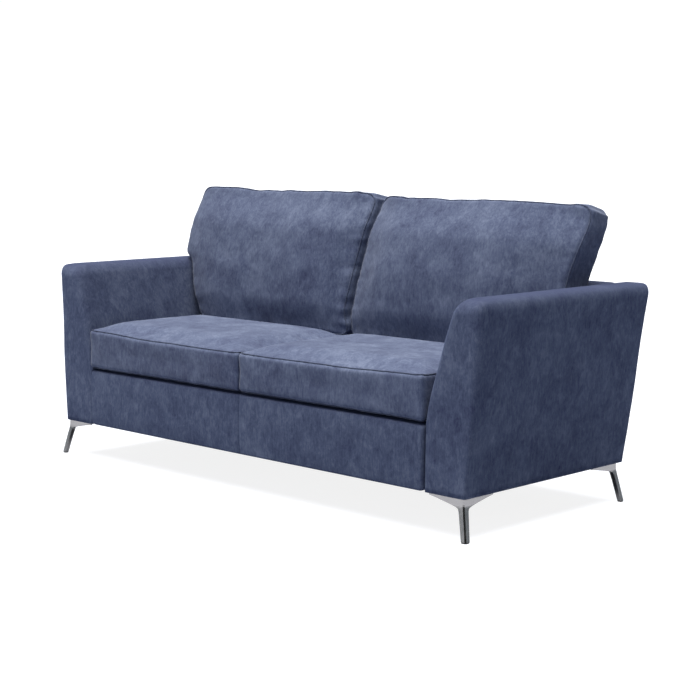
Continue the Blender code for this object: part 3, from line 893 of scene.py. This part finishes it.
def seat_cushion(label, side):
    """A seat cushion: filled, crowned, puckered along its seams, with a welt on each."""

    def place(a, b, c):
        return (side * (SEAT_INNER + a), SEAT_FRONT + 0.003 + b, SEAT_BOTTOM + 0.001 + c)

    name = "seat_pillow_" + label
    pil = Pillow(name, SEAT_GRID, SEAT_SIZES, place, radius=0.011, corner=0.026)
    top, low = pil.loop(True), pil.loop(False)
    seam = top + low
    dist = pil.seam_distance(seam)
    if SIMULATE:
        inflate(pil, seam, dist, pressure=4.0, cap=0.022, frames=18, shrink=0.02, boxing=0.4)
    co = coords_of(pil.obj)
    # the filling draws the seams in, so the plan goes back to its size
    across = (side * SEAT_INNER, side * (SEAT_INNER + SEAT_SIZES[0]))
    along = (SEAT_FRONT + 0.0005, SEAT_FRONT + 0.003 + SEAT_SIZES[1])
    for axis, (a, b) in enumerate((across, along)):
        lo, hi = co[seam, axis].min(), co[seam, axis].max()
        co[:, axis] = min(a, b) + (co[:, axis] - lo) * abs(b - a) / (hi - lo)
    seed = 21.0 + 4.0 * side
    n = normals_of(pil.obj)
    for i, (u, v, w) in enumerate(pil.unit):
        p = co[i]
        dome = (1 - abs(2 * u - 1) ** 2.6) * (1 - abs(2 * v - 1) ** 3.0)
        if w > 0.5:
            p[2] += SEAT_DOME * dome * smooth((w - 0.5) / 0.5)
            p[2] += SEAT_SLOPE * smooth((u - 0.55) / 0.40) * smooth((0.96 - v) / 0.5)
        if v < 0.02:
            bulge = 1 - abs(2 * w - 1) ** 2.0
            p[1] -= SEAT_BULGE * bulge * (1 - abs(2 * u - 1) ** 6)
        ripple = math.exp(-dist[i] / 0.030)
        crosswise = abs(v - 0.5) > 0.48 or w in (0.0, 1.0)
        way = (p[0] if crosswise else p[1]) * 46.0
        pucker = noise.noise(Vector((way, p[1] * 9.0, seed)))
        uneven = 0.0016 * fbm(p, 7.0, seed) + 0.0007 * fbm(p, 24.0, seed)
        p += n[i] * (SEAT_PUCKER * ripple * pucker + uneven)
        if dist[i] < 0.002:
            p -= n[i] * SEAM_PULL
    co[:, 0] = side * np.clip(np.abs(co[:, 0]), SEAT_MIDDLE, SEAT_WALL)
    co[:, 1] = np.clip(co[:, 1], SEAT_NOSE, SEAT_TAIL)
    under_back = np.array([smooth((y - 0.015) / 0.085) for y in co[:, 1]])
    roof = SEAT_TOP + SEAT_RISE - SEAT_RISE * under_back
    co[:, 2] = np.clip(co[:, 2], SEAT_BOTTOM + 0.0003, roof)
    set_coords(pil.obj, co)
    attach(pil.obj, "sofa_base")
    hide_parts("seat_cushion_" + label)
    welt("seat_welt_top_" + label, pil, top, SEAT_WELT, 0.0012, WELT)
    welt("seat_welt_bottom_" + label, pil, low, SEAT_WELT, 0.0006, WELT)
    subdivide(pil.obj)


# ---------------------------------------------------------------- back cushions
REST_Z = SEAT_TOP + 0.0008
REAR_Y = back_face(REST_Z) - 0.008 / math.cos(LEAN)
# the lower front edge of a back cushion, the way through it, and the way up its slope
FOOT = np.array((0.0, REAR_Y - CUSHION_T / math.cos(LEAN), REST_Z))
NORMAL = np.array((0.0, math.cos(LEAN), -math.sin(LEAN)))
RISE = np.array((0.0, math.sin(LEAN), math.cos(LEAN)))
CUSHION_H = (CUSHION_TOP - REST_Z) / math.cos(LEAN)
BACK_GRID = (88, 50, 13)
BACK_LENGTH = 0.880
BACK_DEPTH = CUSHION_T - 0.010
BACK_DOME = 0.026 if SIMULATE else 0.044
BACK_BELLY = 0.022  # the fuller upper middle of the front face
BACK_THIN = 0.046  # the most that the edges are thinner
BACK_SAG = 0.006  # of the top edge between its corners
BACK_WAVE = 0.0055
BACK_SEAM_PULL = 0.0026
BACK_CLEAR = 0.0014  # from the line where the two cushions meet
BACK_ROOF = 0.985  # no part of a back cushion is higher than this
BACK_REACH = (0.975, 0.930)  # how far out the left and the right cushion may go above the arms
BACK_WELT = 0.0024


def cushion_half(v):
    """How far the CAD cushion reaches from the middle, at a height along its slope."""
    z = REST_Z + v * math.cos(LEAN) - CUSHION_T * math.sin(LEAN)
    return min(CUSHION_HALF, arm_inner(z) - 0.004)


def arm_wall(z, above):
    """How far out a cushion may reach at a height, following the arm's rounded shoulder."""
    if z > ARM_TOP + 0.003:
        return above
    drops = [d for d, _ in reversed(TOP_LEVELS[:-1])]
    pulls = [q for _, q in reversed(TOP_LEVELS[:-1])]
    pulled = float(np.interp(ARM_TOP - z, drops, pulls))
    return arm_inner(min(z, ARM_TOP)) + pulled - 0.0024


def seam_x(v, c):
    """The line where the two cushions press together, pushed over to one side."""
    forward = 1.0 - 0.5 * min(1.0, max(0.0, c / BACK_DEPTH))
    return (-0.010 - 0.040 * (1.0 - smooth(v / CUSHION_H))) * forward


def back_cushion(label, side):
    """A back cushion: filled, pressed against its neighbour and the arm, slumped and puckered."""
    left = side < 0

    def place(a, b, c):
        v = 0.003 + b
        depth = 0.004 + c * (1.0 + 0.03 * smooth(v / 0.2))
        level = depth * math.tan(LEAN) * max(0.0, 1.0 - v / 0.120)
        p = FOOT + NORMAL * depth + RISE * (v + level)
        inner = seam_x(v, c) + side * 0.0050
        if left:
            inner -= 0.025 * (1.0 - c / BACK_DEPTH) * smooth(v / 0.10)
            swell = 0.058 - 0.010 * smooth((p[2] - 0.740) / 0.20)
            over = min(CUSHION_HALF + swell, arm_wall(p[2], 9.0) - 0.002) - cushion_half(v)
        else:
            over = 0.010 - 0.034 * (1.0 - smooth((p[2] - 0.70) / 0.20))
        over -= 0.022 * (1.0 - smooth(v / 0.16))
        outer = side * (cushion_half(v) + over)
        return (inner + (a / BACK_LENGTH) * (outer - inner), p[1], p[2])

    sizes = (BACK_LENGTH, CUSHION_H + (0.018 if left else 0.004), BACK_DEPTH)
    name = "back_pillow_" + label
    pil = Pillow(name, BACK_GRID, sizes, place, radius=0.012, corner=0.050)
    front, rear = pil.loop(False), pil.loop(True)
    seam = front + rear
    dist = pil.seam_distance(seam)
    if SIMULATE:
        inflate(pil, seam, dist, pressure=4.5, cap=0.028, frames=20, shrink=0.05, boxing=0.5)
    co = coords_of(pil.obj)
    seed = 51.0 + 7.0 * side
    belly = BACK_BELLY * (0.6 if left else 1.0)
    n = normals_of(pil.obj)
    for i, (u, v, w) in enumerate(pil.unit):
        p = co[i]
        dome = (1 - abs(2 * u - 1) ** 2.4) * (1 - abs(2 * v - 1) ** 2.4)
        face = smooth((0.5 - w) / 0.5)
        middle = 0.4 + 0.6 * (1 - abs(2 * u - 1) ** 4)
        p -= NORMAL * (BACK_DOME * dome * face)
        p -= NORMAL * (belly * face * smooth(v / 0.5) * middle)
        # thinner towards its ends, its top and its foot
        outer_end = 1.0 - smooth((1.0 - u) / (0.45 if left else 0.30))
        inner_end = 1.0 - smooth(u / (0.11 if left else 0.16))
        if left:
            thin = 0.014 * inner_end - 0.030 * outer_end
        else:
            thin = 0.036 * outer_end + 0.012 * inner_end
        thin += 0.028 * (1.0 - smooth((1.0 - v) / 0.32))
        thin += 0.024 * (1.0 - smooth(v / 0.20)) - 0.010
        p += NORMAL * (min(thin, BACK_THIN) * (1.0 - w))
        if w > 0.5:
            p += NORMAL * (0.006 * dome)
        # the top edge sags and waves
        p[2] -= BACK_SAG * (1 - abs(2 * u - 1) ** 2.0) * smooth((v - 0.6) / 0.4)
        p[2] += BACK_WAVE * smooth((v - 0.7) / 0.3) * fbm((p[0], 0.0, 0.0), 5.0, seed)
        near_side = min(u, 1 - u)
        ripple = math.exp(-dist[i] / 0.034)
        way = p[2] * 40.0 if near_side < 0.08 else p[0] * 30.0
        strength = 0.0072 if u < 0.14 else 0.0044 if u > 0.88 else 0.0024
        pucker = noise.noise(Vector((way, near_side * 4.0, seed + (1 if w < 0.5 else 9))))
        uneven = 0.0030 * fbm(p, 4.5, seed) + 0.0011 * fbm(p, 16.0, seed)
        p += n[i] * (strength * ripple * pucker + uneven)
        if dist[i] < 0.002:
            p -= n[i] * BACK_SEAM_PULL
    # clear of the arm, the neighbour, the backrest and the seat
    reach = BACK_REACH[0] if left else BACK_REACH[1]
    wall = np.array([arm_wall(z, reach) for z in co[:, 2]])
    heights = np.clip((co - FOOT) @ RISE, 0.0, CUSHION_H)
    depths = np.clip((co - FOOT) @ NORMAL, 0.0, BACK_DEPTH)
    centre = np.array([seam_x(h, d) for h, d in zip(heights, depths)])
    if left:
        co[:, 0] = np.clip(co[:, 0], -wall, centre - BACK_CLEAR)
    else:
        co[:, 0] = np.clip(co[:, 0], centre + BACK_CLEAR, wall)
    behind = np.array([back_face(z) - 0.003 if z < BACK_TOP + 0.008 else 9.0 for z in co[:, 2]])
    co[:, 1] = np.minimum(co[:, 1], behind)
    co[:, 2] = np.clip(co[:, 2], SEAT_TOP + 0.0012, BACK_ROOF)
    set_coords(pil.obj, co)
    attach(pil.obj, "sofa_base")
    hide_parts("back_cushion_" + label)
    welt("back_welt_front_" + label, pil, front, BACK_WELT, 0.0008, WELT_BACK)
    welt("back_welt_rear_" + label, pil, rear, BACK_WELT, 0.0008, WELT_BACK)
    subdivide(pil.obj)


for label, side in (("left", -1.0), ("right", 1.0)):
    seat_cushion(label, side)
    back_cushion(label, side)
